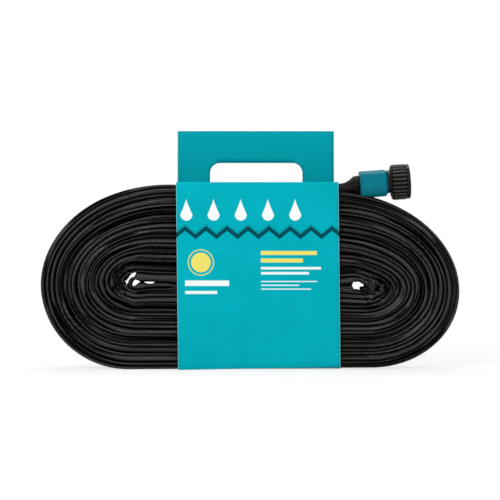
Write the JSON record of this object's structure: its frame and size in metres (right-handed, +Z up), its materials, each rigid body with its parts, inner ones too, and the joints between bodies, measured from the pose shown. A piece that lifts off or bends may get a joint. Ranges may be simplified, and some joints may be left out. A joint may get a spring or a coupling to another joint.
{
  "type": "soaker hose",
  "caption": "Flat woven soaker hose wound on edge into an oval coil, held by a folded carry card with a hand hole, with a ribbed swivel nut at the inlet and a screw cap on the outlet.",
  "frame": {"origin": "on the ground under the middle of the object's box", "axes": "+X along the coil towards the end where both couplings are, +Y from the front panel to the back panel, which carries the handle, +Z up"},
  "size_m": [0.4183, 0.0629, 0.2435],
  "materials": {
    "hose_jacket": "woven flat hose, near black, soft sheen",
    "hose_liner": "matt",
    "collar_teal": "satin moulded plastic",
    "fitting_black": "satin moulded plastic",
    "seal_black": "matt",
    "flow_white": "matt moulded plastic",
    "card_teal": "printed coated card"
  },
  "bodies": {
    "hose": {"hose_coil": "hose_jacket", "inlet_lead": "hose_jacket", "inlet_liner": "hose_liner", "inlet_stem": "fitting_black", "inlet_collar": "collar_teal", "outlet_lead": "hose_jacket", "outlet_liner": "hose_liner", "outlet_stem": "fitting_black", "outlet_collar": "collar_teal"},
    "coupling": {"coupling_nut": "fitting_black", "inlet_washer": "seal_black", "flow_disc": "flow_white"},
    "seal": {"cap_seal": "seal_black"},
    "cap": {"end_cap": "fitting_black"},
    "sleeve": {"card_wrap": "card_teal"},
    "handle": {"card_handle": "card_teal"}
  },
  "joints": [
    {"name": "nut_spin", "type": "hinge", "parent": "hose", "child": "coupling", "pos_m": [0.1104, -0.0137, 0.18681], "axis": [0.9976, 0, 0.0698], "continuous": true},
    {"name": "cap_travel", "type": "slide", "parent": "hose", "child": "seal", "axis": [0, 0, 1], "range_m": [0, 0.01105]},
    {"name": "cap_turn", "type": "hinge", "parent": "seal", "child": "cap", "pos_m": [0.17785, 0.0153, 0.10955], "axis": [0, 0, 1], "range_deg": [0, 1800]},
    {"name": "sleeve_slide", "type": "slide", "parent": "hose", "child": "sleeve", "axis": [-1, 0, 0], "range_m": [0, 0.3]},
    {"name": "handle_fold", "type": "hinge", "parent": "sleeve", "child": "handle", "pos_m": [0.00725, 0.0256, 0.1887], "axis": [1, 0, 0], "range_deg": [-88, 88]}
  ],
  "couplings": [
    {"joint": "cap_travel", "follows": "cap_turn", "m_per_rad": 0.00035153}
  ]
}
